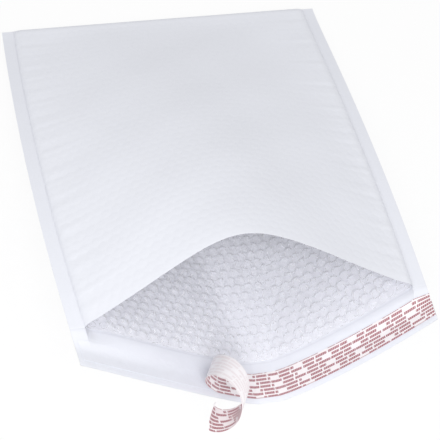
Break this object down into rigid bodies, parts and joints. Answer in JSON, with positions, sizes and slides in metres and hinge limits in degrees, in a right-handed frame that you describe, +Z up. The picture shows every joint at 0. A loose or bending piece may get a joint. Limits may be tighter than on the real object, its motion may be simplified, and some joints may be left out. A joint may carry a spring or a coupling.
{
  "type": "bubble mailer",
  "caption": "Padded paper mailer with a bubble-film lining, mouth open, lip flap out and its glue cover half peeled into a curl.",
  "frame": {"origin": "on the table, under the pressed-flat keel of the back panel, on the centre line at half of the flat length", "axes": "+X across to the right as seen from the mouth, +Y from the mouth to the far fold, +Z up"},
  "size_m": [0.362, 0.5596, 0.1625],
  "materials": {
    "white_paper": "smooth bluish white paper",
    "bubble_film": "milky translucent bubble film",
    "clear_glue": "clear tacky hot-melt glue",
    "coated_liner": "silicone-coated white paper with rows of short dull red dashes"
  },
  "bodies": {
    "root": {"outer_paper": "white_paper", "bubble_lining": "bubble_film", "adhesive_strip": "clear_glue", "release_liner": "coated_liner"}
  },
  "joints": []
}
